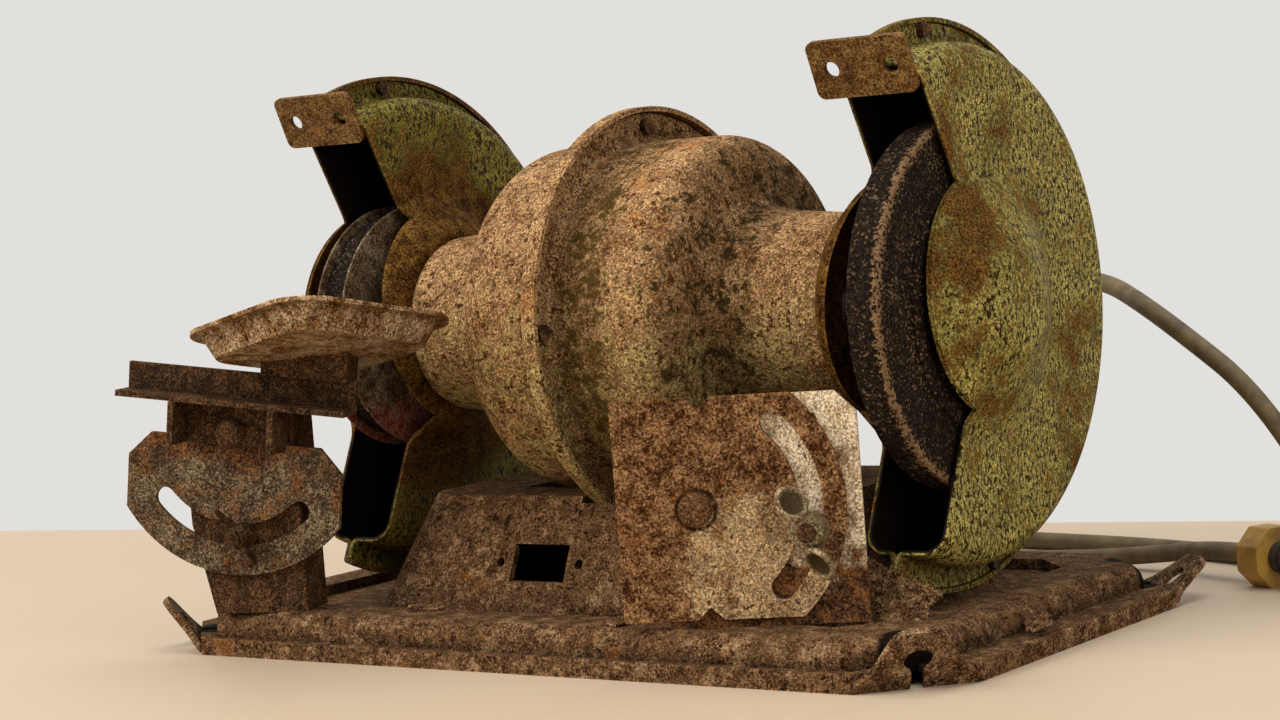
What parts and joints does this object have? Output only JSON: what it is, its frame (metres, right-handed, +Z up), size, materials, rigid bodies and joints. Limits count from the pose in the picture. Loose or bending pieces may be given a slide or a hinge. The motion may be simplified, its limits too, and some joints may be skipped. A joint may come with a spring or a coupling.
{
  "type": "bench grinder",
  "caption": "Old bench grinder: pressed-steel base and motor shells, open-front wheel guards, tilting tool rests, worn wheels on a free spindle and a mains cord with plug.",
  "frame": {"origin": "under the middle of the pedestal, on the surface the base pan stands on", "axes": "+X along the motor axis to the right as the user faces it, +Y to the back, +Z up"},
  "size_m": [0.4158, 0.3333, 0.213],
  "materials": {
    "rusted_base": "heavy pitted rust",
    "motor_paint": "dusty rust over hammered olive paint",
    "guard_paint": "speckled yellow green paint",
    "guard_rust": "brown rust",
    "screw_steel": "rusted",
    "core_iron": "bare",
    "copper_coil": "varnished",
    "bright_steel": "ground",
    "abrasive": "coarse grit",
    "flange_steel": "rusted",
    "blotter_card": "torn card",
    "zinc_rust": "dull zinc with rust",
    "rest_rust": "dark worn steel with rust",
    "wing_steel": "dull",
    "cord_rubber": "dusty",
    "plug_ochre": "dirty",
    "plug_black": "matt"
  },
  "bodies": {
    "frame": {"base_pan": "rusted_base", "motor_shell_left": "motor_paint", "motor_shell_right": "motor_paint", "shell_screws": "screw_steel", "motor_mount_bolts": "screw_steel", "stator_core": "core_iron", "stator_coils": "copper_coil", "bearing_housing_left": "core_iron", "bearing_housing_right": "core_iron", "bearing_left": "bright_steel", "bearing_right": "bright_steel", "guard_left_outer": "guard_rust", "guard_left_inner": "guard_paint", "guard_right_inner": "guard_paint", "guard_right_outer": "guard_paint", "guard_left_rim_screws": "screw_steel", "guard_right_rim_screws": "screw_steel", "guard_left_neck_screws": "screw_steel", "guard_right_neck_screws": "screw_steel", "shield_tab_left": "guard_paint", "shield_tab_right": "guard_paint", "right_rest_post": "zinc_rust", "right_pivot_rivet": "screw_steel", "right_clamp_bolt": "screw_steel", "left_rest_post": "rest_rust", "left_pivot_bolt": "screw_steel", "left_clamp_bolt": "screw_steel", "post_foot_bolts": "screw_steel", "cord_gland": "cord_rubber", "mains_cord": "cord_rubber", "plug_collar": "plug_ochre", "plug_body": "plug_black", "plug_blades": "bright_steel"},
    "rotor": {"spindle": "bright_steel", "rotor_core": "core_iron", "wheel_left": "abrasive", "wheel_right": "abrasive", "wheel_flange_inner_left": "flange_steel", "wheel_flange_inner_right": "flange_steel", "wheel_flange_outer_left": "flange_steel", "wheel_flange_outer_right": "flange_steel", "wheel_nut_left": "screw_steel", "wheel_nut_right": "screw_steel", "blotters_left": "blotter_card", "blotters_right": "blotter_card"},
    "left_rest": {"left_arc_plate": "rest_rust", "left_rest_riser": "rest_rust", "left_rest_bar": "rest_rust", "left_table_leaf": "rest_rust", "left_rest_table": "rest_rust"},
    "right_rest": {"right_arc_plate": "zinc_rust"},
    "left_wing": {"left_wing_nut": "wing_steel"},
    "right_wing": {"right_wing_nut": "wing_steel"}
  },
  "joints": [
    {"name": "rotor_spin", "type": "hinge", "parent": "frame", "child": "rotor", "pos_m": [0, 0, 0.115], "axis": [1, 0, 0], "continuous": true},
    {"name": "left_rest_tilt", "type": "hinge", "parent": "frame", "child": "left_rest", "pos_m": [-0.133, -0.092, 0.084], "axis": [0.342, -0.9397, 0], "range_deg": [-35, 40]},
    {"name": "right_rest_tilt", "type": "hinge", "parent": "frame", "child": "right_rest", "pos_m": [0.0675, -0.0816, 0.056], "axis": [0.4226, -0.9063, 0], "range_deg": [-5, 5]},
    {"name": "left_wing_turn", "type": "hinge", "parent": "frame", "child": "left_wing", "pos_m": [-0.133, -0.092, 0.0455], "axis": [0.342, -0.9397, 0], "range_deg": [-180, 180]},
    {"name": "right_wing_turn", "type": "hinge", "parent": "frame", "child": "right_wing", "pos_m": [0.10157, -0.06571, 0.04767], "axis": [0.4226, -0.9063, 0], "range_deg": [-180, 180]}
  ]
}
